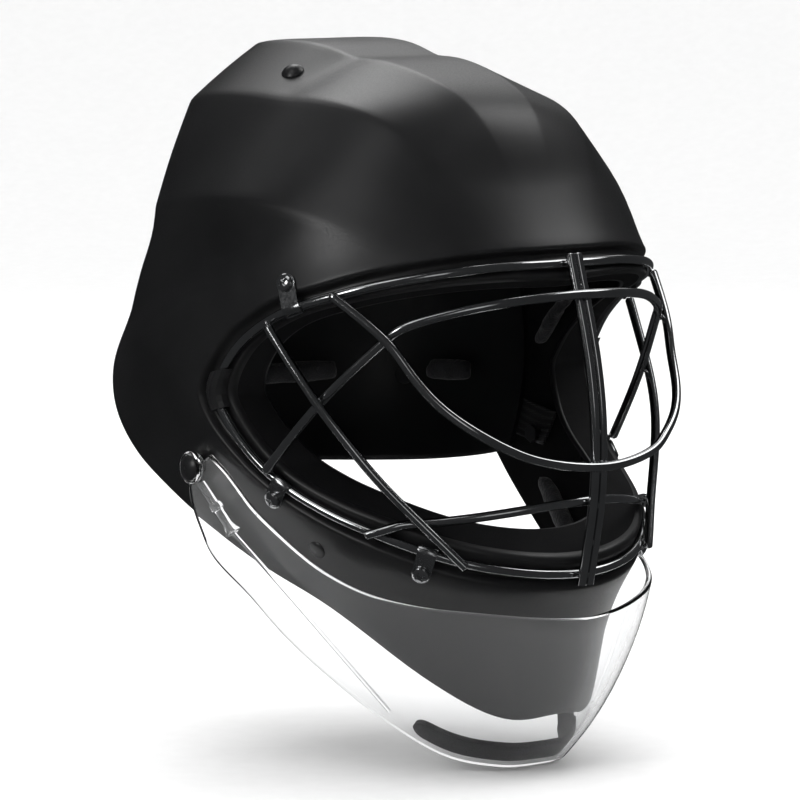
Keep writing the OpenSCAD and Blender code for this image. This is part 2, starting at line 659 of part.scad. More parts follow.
module strap(path, width, steps) {
    points = curve(path, steps);
    function middle(i, height) =
        let (p = points[clamp(i, 0, steps)]) plate_skin(p[0], p[1], p[2] + height);
    function across(i) = unit(cross(middle(i + 1, 0) - middle(i - 1, 0), middle(i, 0)));
    function row(i, height) = [for (k = [-1, 0, 1])
        let (p = middle(i, 0) + across(i) * k * width / 2, q = points[i],
             d = unit([p[0] / plate_x, p[1] / plate_y, p[2] / scale_z]),
             r = d * reach_in(plate_rows, plate_low, d),
             base = [r[0] * plate_x, r[1] * plate_y, r[2] * scale_z])
        base + unit(base) * (q[2] + height)];
    slab([for (i = [0:steps]) row(i, strap_thickness)], [for (i = [0:steps]) row(i, 0)]);
}
module crown_straps() {
    color(dark_foam) both_sides() difference() {
        strap(crown_strap_path, strap_width, 12);
        on_skin(rivet_place[0], rivet_place[1]) bore(rivet_shank_d);
        on_plate(plate_rivet_places[0][0], plate_rivet_places[0][1]) bore(rivet_shank_d);
    }
}
module side_straps() {
    color(dark_foam) both_sides() difference() {
        strap(side_strap_path, strap_width * 0.8, 12);
        at_guard_pin() bore(pin_d);
        on_plate(plate_rivet_places[1][0], plate_rivet_places[1][1]) bore(rivet_shank_d);
    }
}
module plate_rivets() {
    color(black) for (a = plate_rivet_places) both_sides()
        on_plate(a[0], a[1]) translate([0, 0, strap_thickness + 1])
            dome_rivet(rivet_d, 2.4, rivet_shank_d, plate_wall + strap_thickness + 2.5);
}

// Throat guard: upper and lower rim from the ear to the middle of the chin
guard_upper = [[-115, 1, -29.5], [-113.4, -8, -36], [-111.8, -17, -44.3], [-109.7, -27.5, -54.1],
               [-102.1, -48.7, -70.8], [-94, -61, -80.5], [-86, -80, -88], [-72, -98.5, -93],
               [-51, -115.5, -96], [-25, -127.5, -99], [0, -132.5, -100.5]];
guard_lower = [[-115, 17.5, -40.5], [-114, 17.5, -52], [-111, 14, -66], [-107, 8, -80],
               [-97.5, -5.7, -96.3], [-86.5, -15.8, -113.6], [-73.5, -28.5, -130.9],
               [-57.5, -49.3, -151.1], [-38.5, -73.3, -169.1], [-20.5, -92.5, -174.3],
               [0, -97, -174.8]];
guard_bulge = 12;
guard_columns = 40;
guard_steps = 6;
function guard_skin(i, s) =
    let (v = 10 - abs(i - guard_columns / 2) * 20 / guard_columns,
         p = lerp(along(guard_upper, v), along(guard_lower, v), s),
         out = unit([p[0], p[1], 0]) * guard_bulge * v / 10 * 4 * s * (1 - s),
         q = fitted(p + out))
    i <= guard_columns / 2 ? q : mirrored(q);
function guard_normal(i, s) =
    let (a = guard_skin(min(guard_columns, i + 1), s) - guard_skin(max(0, i - 1), s),
         b = guard_skin(i, min(1, s + 0.1)) - guard_skin(i, max(0, s - 0.1)))
    unit(cross(b, a));
function guard_grid(depth, low = 0, high = 1, steps = guard_steps, from = 0) =
    [for (i = [from:guard_columns - from]) [for (j = [0:steps])
        let (s = lerp(low, high, j / steps)) guard_skin(i, s) - guard_normal(i, s) * depth]];
ear_d = 15;
module throat_guard() {
    color(clear_plastic) difference() {
        union() {
            slab(guard_grid(0), guard_grid(guard_wall));
            both_sides() at_guard_pin() cylinder(d = ear_d, h = guard_wall);
        }
        both_sides() at_guard_pin() {
            cylinder(d = pin_d + 2 * pin_gap, h = 30, center = true);
            translate([0, 0, -6]) cylinder(d = ear_d, h = 6);
        }
    }
}
strip_start = 15;
module guard_foam_strip() {
    near = guard_wall + 0.5;
    color(dark_foam) slab(guard_grid(near, 0.86, 0.97, 2, strip_start),
                          guard_grid(near + strip_thickness, 0.86, 0.97, 2, strip_start));
}
module guard_pins() {
    color(black) both_sides() at_guard_pin() {
        translate([0, 0, guard_wall + 0.1]) rotate_extrude() intersection() {
            translate([0, 2.4 - 9]) circle(9);
            square([6, 2.4]);
        }
        translate([0, 0, -17.2]) cylinder(d = pin_d, h = 17.4 + guard_wall);
        translate([0, 0, -17.4]) cylinder(d = 9, h = 2.2, $fn = 6);
    }
}
module guard_spacers() {
    color(black) both_sides() at_guard_pin() difference() {
        translate([0, 0, -boss_depth + 0.05]) cylinder(d = spacer_d, h = boss_depth - 0.1);
        cylinder(d = pin_d + 0.1, h = 30, center = true);
    }
}
// A clear ring round each spacer, the toggle that hangs from it and the clear cord
// that runs from the toggle to the rim of the guard, where the foam strip ends
spacer_d = 10;
hook_wire = 1.6;
toggle_top = [-109, 13.4, -43.9];
toggle_end = [-102.5, -2, -66];
module guard_hooks() {
    color(clear_plastic) both_sides() at_guard_pin() translate([0, 0, -hook_wire / 2 - 0.2])
        rotate_extrude() translate([(spacer_d + hook_wire) / 2 + 0.1, 0]) circle(d = hook_wire);
}
module guard_toggles() {
    axis = fitted(toggle_end) - fitted(toggle_top);
    length = norm(axis);
    color(clear_plastic) both_sides() translate(fitted(toggle_top))
        rotate([0, acos(axis[2] / length), atan2(axis[1], axis[0])]) {
            cylinder(d = 4, h = length);
            translate([0, 0, length * 0.42]) cylinder(d = 6, h = 3);
            translate([0, 0, length - 5]) cylinder(d1 = 4, d2 = 7.5, h = 5);
        }
}
cord_gap = 0.4;
module guard_cords() {
    i = strip_start - 0.7;
    tied = guard_skin(i, 0.93) - guard_normal(i, 0.93) * (guard_wall + cord_d / 2 + cord_gap);
    toggle = fitted(toggle_end);
    along_cord = unit(tied - toggle);
    color(clear_plastic) both_sides()
        wire([toggle + along_cord * cord_gap, (toggle + tied) / 2, tied], cord_d, 8);
}

front_shell();
brow_pad();
crown_pad();
temple_pads();
jaw_pads();
chin_pad();
cage_ring();
cage_centre_bars();
cage_eye_wire();
cage_chin_wire();
cage_side_wires();
cage_mouth_wire();
upper_clips();
jaw_clips();
chin_clips();
cage_saddles();
clip_screws();
clip_nuts();
saddle_screws();
crown_rivets();
chin_strap_plugs();
back_plate();
back_pad();
nape_pad();
plate_side_pads();
crown_straps();
side_straps();
plate_rivets();
throat_guard();
guard_foam_strip();
guard_pins();
guard_spacers();
guard_hooks();
guard_toggles();
guard_cords();
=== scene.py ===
import math

import bmesh
import bpy
import numpy as np
from mathutils import Matrix, Vector


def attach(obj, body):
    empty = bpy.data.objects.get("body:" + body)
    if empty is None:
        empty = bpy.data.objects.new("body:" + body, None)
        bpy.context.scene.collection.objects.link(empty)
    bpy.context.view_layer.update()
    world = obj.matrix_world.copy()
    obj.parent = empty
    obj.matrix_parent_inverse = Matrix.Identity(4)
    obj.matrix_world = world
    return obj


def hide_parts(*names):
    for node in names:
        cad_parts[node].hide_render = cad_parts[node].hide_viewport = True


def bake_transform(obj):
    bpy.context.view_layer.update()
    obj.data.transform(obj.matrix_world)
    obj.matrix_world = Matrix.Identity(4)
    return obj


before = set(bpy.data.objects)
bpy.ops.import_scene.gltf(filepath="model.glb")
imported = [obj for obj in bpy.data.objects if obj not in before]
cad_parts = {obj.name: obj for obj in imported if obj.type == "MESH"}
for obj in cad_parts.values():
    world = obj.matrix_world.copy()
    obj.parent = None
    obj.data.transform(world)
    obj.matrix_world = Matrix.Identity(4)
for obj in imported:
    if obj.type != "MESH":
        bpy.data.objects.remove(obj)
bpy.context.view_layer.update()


# The front shell is one moulding of black long-fibre plastic, 4 mm thick, with a fine
# satin grain. Creases run over its crown, and a sunken ledge with a turned-in lip goes
# round the face opening to carry the cage. Its points are worked out in millimetres.
MM = 0.001
shell_wall = 4
ledge_depth = 5
lip_offset = 7
skin_low = -60
skin_step = 15
least_flat = 1e-6
# Front, side and rear reach, then the power of the front half and of the rear half
skin_rows = np.array([
    [204, 125, 118, 2.1, 3.0],
    [160, 121, 132, 2.1, 3.0],
    [152, 115, 148, 2.1, 3.1],
    [150, 114, 163, 2.1, 3.2],
    [150, 117, 163, 2.1, 3.0],
    [147, 119, 165, 2.1, 2.7],
    [134, 125, 170, 2.1, 2.4],
    [135, 142, 174, 2.1, 2.2],
    [150, 149, 178, 2.0, 2.2],
    [154, 150, 166, 2.0, 2.2],
    [160, 160, 160, 2.0, 2.0]])
# Ring direction and edge direction as heading and elevation, lip depth, ledge width
columns = [
    [[0, 27.3], [180, 65.5], 14, 8],
    [[2, 27.3], [157.5, 63.7], 14, 8],
    [[11, 27.2], [136.4, 52.4], 14, 8],
    [[32, 26], [121.7, 35], 14, 7.5],
    [[52, 23], [121.7, 22.3], 14, 6.6],
    [[69, 18.5], [122.7, 11.9], 16, 6.6],
    [[81, 11], [125.1, 0.3], 20, 8],
    [[87.5, 1], [124.8, -7.3], 23, 10.6],
    [[85.5, -6], [121.5, -15], 24, 9.8],
    [[79, -14.5], [115.3, -22.7], 24, 6.4],
    [[70, -21], [106.6, -31.4], 24, 5],
    [[58, -25.7], [88.3, -42.8], 24, 5.2],
    [[44, -28.7], [62, -49.7], 24, 5.8],
    [[29, -31], [34, -53.4], 24, 6],
    [[14, -32.1], [14, -53.9], 24, 6],
    [[0, -32.6], [0, -53], 24, 6]]
lip_depth_item = 2
ledge_width_item = 3
last_column = len(columns) - 1
last_crease = 3
crease_start = 0.15
crease_full = 0.6
crease_fade = 0.7
crease_at_edge = 0.8
crease_radius = 0.04
flute_start = 0.35
flute_run = 0.2
flute_spread = 2.6
flute_depth = 2.2
flute_return = 1.1
# Distances that a slope is measured over: in columns round the ring, then in millimetres
look_round = 0.1
look_ahead = 4
# Profiles as distance and height: the ledge's riser, the lip's bend and its end, the rear edge
ledge_riser = [(0.9, -0.08), (0.3, -0.35), (-0.1, -0.85), (-0.45, -1.7), (-0.85, -2.9),
               (-1.2, -3.9), (-1.7, -4.6), (-2.5, -5)]
lip_bend = [(1.6, -0.2), (0.9, -0.7), (0.35, -1.5), (0.05, -2.6)]
lip_corner = [(0.15, 0.8), (0.6, 0.2), (1.3, 0)]
lip_rim = lip_corner + [(shell_wall - mm, height) for mm, height in lip_corner[::-1]]
riser_back = [(0.6, 1.2 - ledge_depth - shell_wall), (2.4, -1 - shell_wall)]
rear_edge = [(0.45, -3.6), (0.75, -2.9), (0.85, -2), (0.75, -1.1), (0.45, -0.4)]
# How far each straight run of the section stops short of the bends beside it
outer_end = 1.6
floor_start, floor_end = 3.6, 4.3
lip_start, lip_stop = 4.5, 1.6
back_start, back_stop = 2, 1
under_start, under_stop = 0.6, 2.4
inner_start = 4
outer_steps = 44
ledge_steps = 5
lip_steps = 6
lip_back_steps = 5
under_steps = 4
inner_steps = 18
steps_per_column = 8
sharp_angle = math.radians(40)


def unit(v):
    return v / np.linalg.norm(v)


def lerp(a, b, t):
    return a + (b - a) * t


def smooth(t):
    c = min(max(t, 0.0), 1.0)
    return c * c * (3 - 2 * c)


def mirrored(p):
    return np.array([-p[0], p[1], p[2]])


def heading(az, el):
    a, e = math.radians(az), math.radians(el)
    return np.array([-math.sin(a) * math.cos(e), -math.cos(a) * math.cos(e), math.sin(e)])


def spline(a, b, c, d, t):
    bend = (2 * a - 5 * b + 4 * c - d) * t * t + (3 * b - a - 3 * c + d) * t * t * t
    return 0.5 * (2 * b + (c - a) * t + bend)


def along(points, u):
    last = len(points) - 1
    i = int(min(max(math.floor(u), 0), last - 1))
    return spline(points[max(0, i - 1)], points[i], points[i + 1], points[min(last, i + 2)], u - i)


def swing(a, b, t):
    w = math.acos(float(np.clip(a @ b, -1, 1)))
    return (math.sin((1 - t) * w) * a + math.sin(t * w) * b) / math.sin(w)


# How far out a skin lies in a direction: its rows are superellipses, one each skin step
def reach_in(rows, low, d):
    m = along(rows, (math.degrees(math.asin(d[2])) - low) / skin_step)
    flat = max(math.hypot(d[0], d[1]), least_flat)
    ahead, power = (m[0], m[3]) if d[1] < 0 else (m[2], m[4])
    return ((abs(d[0]) / flat / m[1]) ** power + (abs(d[1]) / flat / ahead) ** power) ** (-1 / power)


def column(i, end):
    if i < 0:
        return mirrored(column(-i, end))
    if i > last_column:
        return mirrored(column(2 * last_column - i, end))
    return heading(*columns[i][end])


def direction(u, end):
    i = math.floor(u)
    before, here, ahead, after = (column(k, end) for k in range(i - 1, i + 3))
    return unit(spline(before, here, ahead, after, u - i))


def near_side(u):
    return 2 * last_column - abs(u) if abs(u) > last_column else abs(u)


def arc_length(u):
    a, b = direction(near_side(u), 0), direction(near_side(u), 1)
    return math.acos(float(a @ b)) * reach_in(skin_rows, skin_low, a)


def value_at(u, item):
    i = min(math.floor(near_side(u)), last_column - 1)
    return lerp(columns[i][item], columns[i + 1][item], near_side(u) - i)


def round_skin(u, t):
    d = unit(swing(direction(u, 0), direction(u, 1), t))
    return d * reach_in(skin_rows, skin_low, d)


def facet(u, t):
    if abs(u) < 1:
        return lerp(mirrored(round_skin(1, t)), round_skin(1, t), (1 + u) / 2)
    i = min(math.floor(u), last_crease - 1)
    return lerp(round_skin(i, t), round_skin(i + 1, t), u - i)


# The groove under the third crease: it deepens down to its floor and comes back slowly
def flute(u, t):
    width = flute_spread * (t - flute_start)
    if u <= last_crease or width <= 0:
        return 0
    across = (u - last_crease) / width
    profile = across if across < 1 else 1 - smooth((u - last_crease - width) / flute_return)
    return flute_depth * smooth((t - flute_start) / flute_run) * profile


def creased_skin(u, t):
    plain = round_skin(u, t)
    if u >= last_crease:
        return plain - unit(plain) * flute(u, t)
    if t <= crease_start:
        return plain
    weight = smooth((t - crease_start) / (crease_full - crease_start))
    weight *= lerp(1, crease_at_edge, smooth((t - crease_fade) / (1 - crease_fade)))
    return lerp(plain, facet(u, t), weight)


def right_skin(u, t):
    from_crease = abs(u - round(u))
    if t <= crease_start or not 1 <= round(u) <= last_crease or from_crease > crease_radius:
        return creased_skin(u, t)
    before = creased_skin(u - crease_radius, t)
    after = creased_skin(u + crease_radius, t)
    return (before + 2 * creased_skin(u, t) + after) / 4


def skin(u, t, height):
    if u < 0:
        p = mirrored(right_skin(-u, t))
    elif u > last_column:
        p = mirrored(right_skin(2 * last_column - u, t))
    else:
        p = right_skin(u, t)
    return p + unit(p) * height


def skin_mm(u, mm, height):
    return skin(u, mm / arc_length(u), height)


# Columns leave the ring at a slant: one millimetre square to the ring, along the column
def slant_at(u):
    ring_way = skin_mm(u + look_round, 0, 0) - skin_mm(u - look_round, 0, 0)
    ahead = skin_mm(u, look_ahead, 0) - skin_mm(u, 0, 0)
    return 1 / np.linalg.norm(np.cross(unit(ring_way), unit(ahead)))


# A mesh piece from closed rows of points in millimetres: the rows join into a loop, or the
# first and the last are capped
def loft(name, rows, loop=False, caps=False):
    rows = np.array(rows, float)
    n, m = rows.shape[:2]
    points = [tuple(p) for p in rows.reshape(-1, 3) * MM]
    faces = []
    for i in range(n if loop else n - 1):
        for j in range(m):
            k, l = (i + 1) % n, (j + 1) % m
            faces.append((i * m + j, i * m + l, k * m + l, k * m + j))
    if caps:
        faces.append(tuple(reversed(range(m))))
        faces.append(tuple(range((n - 1) * m, n * m)))
    return mesh_piece(name, points, faces)


def mesh_piece(name, points, faces):
    mesh = bpy.data.meshes.new(name)
    mesh.from_pydata(points, [], faces)
    build = bmesh.new()
    build.from_mesh(mesh)
    bmesh.ops.recalc_face_normals(build, faces=build.faces)
    build.to_mesh(mesh)
    build.free()
    mesh.shade_smooth()
    mesh.set_sharp_from_angle(angle=sharp_angle)
    piece = bpy.data.objects.new(name, mesh)
    bpy.context.scene.collection.objects.link(piece)
    return piece


# Once round the shell's wall: outer skin, ledge, lip and back again along the inside
def shell_section(u):
    run = arc_length(u)
    width = value_at(u, ledge_width_item)
    slant = slant_at(u)
    floor = -ledge_depth
    lip_end = floor - value_at(u, lip_depth_item)
    behind = floor - shell_wall
    lip_back = shell_wall - lip_offset
    outer_run = np.linspace(1, slant * (width + outer_end) / run, outer_steps)
    floor_run = np.linspace(slant * (width - floor_start), -floor_end, ledge_steps)
    lip_run = np.linspace(floor - lip_start, lip_end + lip_stop, lip_steps)
    back_run = np.linspace(lip_end + back_start, behind - back_stop, lip_back_steps)
    under_run = np.linspace(lip_back + under_start, slant * (width - under_stop), under_steps)
    inner_run = np.linspace(slant * (width + inner_start) / run, 1, inner_steps)
    outer = [skin(u, t, 0) for t in outer_run]
    ledge = [skin_mm(u, slant * (width + mm), height) for mm, height in ledge_riser]
    ledge += [skin_mm(u, mm, floor) for mm in floor_run]
    lip = [skin_mm(u, mm - lip_offset, floor + height) for mm, height in lip_bend]
    lip += [skin_mm(u, -lip_offset, height) for height in lip_run]
    lip += [skin_mm(u, mm - lip_offset, lip_end + height) for mm, height in lip_rim]
    lip += [skin_mm(u, lip_back, height) for height in back_run]
    under = [skin_mm(u, mm, behind) for mm in under_run]
    under += [skin_mm(u, slant * (width + mm), height) for mm, height in riser_back]
    inner = [skin(u, t, -shell_wall) for t in inner_run]
    edge = [skin_mm(u, run + mm, height) for mm, height in rear_edge]
    return outer + ledge + lip + under + inner + edge


even_turns = np.arange(2 * last_column * steps_per_column) / steps_per_column - last_column
beside_creases = [side * (crease + near) for side in (1, -1) for crease in range(1, last_crease + 1)
                  for near in (-look_round, -crease_radius, crease_radius, look_round)]
turns = np.unique(np.concatenate([even_turns, beside_creases]))
front_shell = loft("moulded_front_shell", [shell_section(u) for u in turns], loop=True)
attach(front_shell, "shell")
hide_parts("front_shell")


# The share of a noise pattern's range that a finish spreads between its two ends
grain_low = 0.3
grain_high = 0.7


def new_finish(name, **constants):
    made = bpy.data.materials.new(name)
    made.use_nodes = True
    shader = made.node_tree.nodes["Principled BSDF"]
    for socket, value in constants.items():
        shader.inputs[socket.replace("_", " ")].default_value = value
    return made, made.node_tree, shader


def add(tree, kind, **values):
    made = tree.nodes.new("ShaderNode" + kind)
    for name, value in values.items():
        socket = made.inputs.get(name.replace("_", " "))
        if socket is None:
            setattr(made, name, value)
        elif isinstance(value, bpy.types.NodeSocket):
            tree.links.new(value, socket)
        else:
            socket.default_value = value
    return made


def grain(tree, scale, detail=3.0):
    place = add(tree, "TexCoord").outputs["Object"]
    return add(tree, "TexNoise", Vector=place, Scale=scale, Detail=detail).outputs["Fac"]


def between(tree, amount, low, high):
    made = add(tree, "MapRange", Value=amount, From_Min=grain_low, From_Max=grain_high,
               To_Min=low, To_Max=high)
    return made.outputs["Result"]


def tint(tree, amount, dark, light):
    ramp = add(tree, "ValToRGB", Fac=amount)
    ramp.color_ramp.elements[0].position = grain_low
    ramp.color_ramp.elements[0].color = (*dark, 1)
    ramp.color_ramp.elements[1].position = grain_high
    ramp.color_ramp.elements[1].color = (*light, 1)
    return ramp.outputs["Color"]


def raised(tree, shader, height, depth):
    bump = add(tree, "Bump", Height=height, Distance=depth, Strength=1.0)
    tree.links.new(bump.outputs["Normal"], shader.inputs["Normal"])


def moulded_plastic(name, dark, light, smoothest, roughest, waviness, gloss=0.5):
    made, tree, shader = new_finish(name, Specular_IOR_Level=gloss)
    cloud = grain(tree, scale=22.0)
    speckle = grain(tree, scale=1500.0, detail=2.0)
    waves = grain(tree, scale=120.0, detail=1.0)
    tree.links.new(tint(tree, cloud, dark, light), shader.inputs["Base Color"])
    tree.links.new(between(tree, speckle, smoothest, roughest), shader.inputs["Roughness"])
    raised(tree, shader, waves, waviness)
    return made


# The cavity of the mould is polished satin, and its core is sand-blasted, so the lip's
# inner face and the inside of the shell come out matt
shell_plastic = moulded_plastic("satin_shell_plastic", dark=(0.004, 0.004, 0.0045),
                                light=(0.007, 0.007, 0.0075), smoothest=0.35, roughest=0.45,
                                waviness=0.00001)
matt_plastic = moulded_plastic("matt_inside_plastic", dark=(0.004, 0.004, 0.0045),
                               light=(0.006, 0.006, 0.0065), smoothest=0.7, roughest=0.8,
                               waviness=0.00002, gloss=0.12)
front_shell.data.materials.append(shell_plastic)
front_shell.data.materials.append(matt_plastic)
lip_face_start = outer_steps + len(ledge_riser) + ledge_steps + len(lip_bend)
lip_face_end = lip_face_start + lip_steps - 1
inside_start = lip_face_end + len(lip_rim) + 1
section_length = len(front_shell.data.polygons) // len(turns)
inside_end = section_length - len(rear_edge)
for face in front_shell.data.polygons:
    place = face.index % section_length
    if lip_face_start <= place < lip_face_end or inside_start <= place < inside_end:
        face.material_index = 1


# The liner pads are blocks of closed-cell foam in a brushed knit cover. Each is glued
# inside the shell, a millimetre off it, and its cover is sewn down along its channels.
pad_gap = 1
pad_thickness = 16
chin_pad_thickness = 12
pad_half_width = 14
swell_cap = 3.0
seat_share = 0.8
cover_mesh = 0.004
cover_pressure = 4
cover_steps = 20
channel_width = 2.2
channel_depth = 1.6
both_sides = ((1, "right"), (-1, "left"))
# Share of the outline and of the thickness, from the glued face to the head
pad_rings = [[0.35, 0.02], [0.7, 0], [0.9, 0.04], [0.97, 0.16], [1, 0.38], [0.98, 0.58],
             [0.92, 0.76], [0.8, 0.89], [0.6, 0.96], [0.3, 1]]


def foam_knit(name):
    made, tree, shader = new_finish(name, Specular_IOR_Level=0.2, Sheen_Weight=0.15,
                                    Sheen_Roughness=0.5)
    place = add(tree, "TexCoord").outputs["Object"]
    cloud = grain(tree, scale=60.0)
    loops = add(tree, "TexVoronoi", Vector=place, Scale=900.0).outputs["Distance"]
    tree.links.new(tint(tree, cloud, dark=(0.010, 0.010, 0.011), light=(0.019, 0.019, 0.021)),
                   shader.inputs["Base Color"])
    tree.links.new(between(tree, cloud, low=0.78, high=0.92), shader.inputs["Roughness"])
    raised(tree, shader, loops, depth=0.0003)
    return made


def cushion_rows(place, middle, half, thickness, corners):
    rows = []
    for share, depth in pad_rings:
        row = []
        for k in range(corners):
            turn = 2 * math.pi * k / corners
            c, s = math.cos(turn), math.sin(turn)
            x = middle[0] + half[0] * share * math.copysign(math.sqrt(abs(c)), c)
            y = middle[1] + half[1] * share * math.copysign(math.sqrt(abs(s)), s)
            row.append(place(x, y, thickness * depth))
        rows.append(row)
    return rows


# Blows the cover up against its foam with a short cloth simulation
def swell(pad):
    remesh = pad.modifiers.new("even_mesh", "REMESH")
    remesh.mode = "VOXEL"
    remesh.voxel_size = cover_mesh
    apply_modifiers(pad)
    rest = np.array([v.co for v in pad.data.vertices])
    cloth = pad.modifiers.new("cover", "CLOTH")
    cloth.settings.use_pressure = True
    cloth.settings.uniform_pressure_force = cover_pressure
    cloth.settings.effector_weights.gravity = 0
    for step in range(1, cover_steps + 1):
        bpy.context.scene.frame_set(step)
    moved = pad.evaluated_get(bpy.context.evaluated_depsgraph_get())
    blown = np.array([v.co for v in moved.data.vertices])
    pad.modifiers.remove(cloth)
    bpy.context.scene.frame_set(1)
    shift = blown - rest
    length = np.linalg.norm(shift, axis=1, keepdims=True)
    shift *= np.minimum(1, swell_cap * MM / np.maximum(length, 1e-9))
    pad.data.vertices.foreach_set("co", (rest + shift).astype(np.float32).ravel())
    subdivide(pad)


def subdivide(piece):
    piece.modifiers.new("finer", "SUBSURF").levels = 1
    apply_modifiers(piece)
    piece.data.shade_smooth()


def apply_modifiers(piece):
    done = piece.evaluated_get(bpy.context.evaluated_depsgraph_get())
    mesh = bpy.data.meshes.new_from_object(done)
    piece.modifiers.clear()
    piece.data = mesh


# A sewn channel pulls the cover in along a plane that passes through the wearer's head
def sew(pad, normal, offset):
    co = np.array([v.co for v in pad.data.vertices]) / MM
    outwards = co / np.linalg.norm(co, axis=1, keepdims=True)
    facing = np.array([v.normal for v in pad.data.vertices])
    inside = np.clip(-(facing * outwards).sum(axis=1), 0, 1)
    away = (co @ np.array(normal) - offset) / channel_width
    pull = channel_depth * np.exp(-(away ** 2)) * inside
    sewn = (co + outwards * pull[:, None]) * MM
    pad.data.vertices.foreach_set("co", sewn.astype(np.float32).ravel())
    pad.data.update()


def liner_pad(name, place, middle, half, thickness, node, body, corners=40):
    room = thickness - 2 * swell_cap
    slimmer = [half[0] * (1 - swell_cap / 2 / pad_half_width), half[1] - swell_cap]

    def seated(x, y, depth):
        return place(x, y, depth + swell_cap * seat_share)

    pad = loft(name, cushion_rows(seated, middle, slimmer, room, corners), caps=True)
    pad.data.materials.append(pad_knit)
    swell(pad)
    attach(pad, body)
    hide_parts(node)
    return pad


def under_shell(u, mm, depth):
    return skin_mm(u, mm, -shell_wall - pad_gap - depth)


pad_knit = foam_knit("brushed_knit")
crown_middle = 0.523 * arc_length(0)
brow_pad = liner_pad("liner_brow", under_shell, [0, 37.5], [3.5, 18], pad_thickness, "brow_pad",
                     "shell", corners=72)
crown_pad = liner_pad("liner_crown", under_shell, [0, crown_middle], [1.9, 34], pad_thickness,
                      "crown_pad", "shell", corners=56)
chin_pad = liner_pad("liner_chin", under_shell, [last_column, 36], [1.5, 13],
                     chin_pad_thickness, "chin_pad", "shell", corners=56)
for channel in (-52, -26, 0, 26, 52):
    sew(brow_pad, (1, 0, 0), channel)
for channel in (-12, 12):
    sew(crown_pad, (1, 0, 0), channel)
sew(chin_pad, (1, 0, 0), 0)
for side, label in both_sides:
    def on_this_side(u, mm, depth):
        return under_shell(u * side, mm, depth)

    def on_this_jaw(u, mm, depth):
        return under_shell(u if side > 0 else 2 * last_column - u, mm, depth)

    temple = liner_pad("liner_temple_" + label, on_this_side, [5.6, 36], [0.95, 10],
                       pad_thickness, "temple_pads", "shell")
    jaw = liner_pad("liner_jaw_" + label, on_this_jaw, [11.3, 45], [1.1, 9.5], pad_thickness,
                    "jaw_pads", "shell")
    sew(temple, (0, 0, 1), 28)
    sew(jaw, (0, 1, 0), -45)


# The cage is 4.4 mm spring-steel wire in black chrome: a ring that lies on the ledge,
# two bars up the middle, and bent wires laid over one another and welded where they
# cross or end.
wire_d = 4.4
ring_height = -2.5
bar_spacing = 4.6
wire_sides = 16
roller_passes = 20
# How far a wire's rounded end reaches, and how wide it still is, as shares of its radius
wire_end = ((0.35, 1.0), (0.75, 0.75), (0.95, 0.35))
centre_bar = [[0, -121.9, 66], [0, -122.9, 61.5], [0, -128, 45], [0, -134.5, 22], [0, -138.5, 0],
              [0, -140, -23], [0, -138.8, -46], [0, -135, -65], [0, -131.4, -82], [0, -130.4, -86]]
chin_wire = [[-99.4, -67.8, 48.9], [-86.5, -91.5, 29.5], [-80, -101.5, 14], [-73, -113, 0],
             [-62, -124, -11], [-48, -132, -20], [-32, -139.5, -26.5], [0, -144.5, -30.5]]
eye_wire = [[-107.9, -31, -35], [-99.5, -58.5, -2], [-84, -86, 27], [-79, -94, 34],
            [-69, -102.5, 38.5], [-51, -116, 43.5], [-30, -126.5, 46.5], [0, -131.9, 48]]
mouth_wire = [[-87.1, -77.6, -61], [-80.8, -85.1, -58.2], [-74.5, -89.5, -56], [-66, -95.5, -55.5],
              [-50, -110, -53], [-33, -122, -50], [-16, -130.5, -47.5], [0, -134.4, -46.5]]
side_wire = [[-111.9, -38, 33.4], [-109, -46.6, 21], [-102.6, -63.4, -2], [-94.5, -76, -20],
             [-84.5, -86, -37], [-71, -98, -55], [-60.4, -108.4, -69.5], [-55.9, -112.5, -75.4]]


def whole(half):
    return half + [[-x, y, z] for x, y, z in half[-2::-1]]


def curve(points, steps):
    points = np.array(points, float)
    return [along(points, i * (len(points) - 1) / steps) for i in range(steps + 1)]


# The wire is bent round rollers, so its path has no corners
def bent(points, steps):
    path = np.array(curve(points, steps))
    for turn in range(roller_passes):
        path[1:-1] = (path[:-2] + 2 * path[1:-1] + path[2:]) / 4
    return list(path)


def flipped(points):
    return [[-x, y, z] for x, y, z in points]


def round_wire(path, closed=False):
    rows = []
    n = len(path)
    for i, here in enumerate(path):
        ahead = path[(i + 1) % n] if closed else path[min(n - 1, i + 1)]
        behind = path[i - 1] if closed else path[max(0, i - 1)]
        tangent = unit(ahead - behind)
        side = unit(np.cross(tangent, unit(here)))
        up = np.cross(side, tangent)
        turns_round = [2 * math.pi * k / wire_sides for k in range(wire_sides)]
        rows.append([(tangent, math.cos(a) * side + math.sin(a) * up, here) for a in turns_round])
    radius = wire_d / 2
    full = [[here + out * radius for tangent, out, here in row] for row in rows]
    if closed:
        return full
    first, last = [], []
    for reach, share in wire_end:
        back, out_by = radius * (reach - 1), radius * share
        first.append([here - tangent * back + out * out_by for tangent, out, here in rows[0]])
        last.append([here + tangent * back + out * out_by for tangent, out, here in rows[-1]])
    return first[::-1] + full[1:-1] + last


def wire_piece(name, paths, node, closed=False):
    parts = [loft(name, round_wire(path, closed), loop=closed, caps=not closed) for path in paths]
    for extra in parts[1:]:
        join(parts[0], extra)
    parts[0].data.materials.append(black_chrome)
    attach(parts[0], "shell")
    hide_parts(node)
    return parts[0]


def join(piece, extra):
    build = bmesh.new()
    build.from_mesh(piece.data)
    build.from_mesh(extra.data)
    build.to_mesh(piece.data)
    build.free()
    bpy.data.objects.remove(extra)


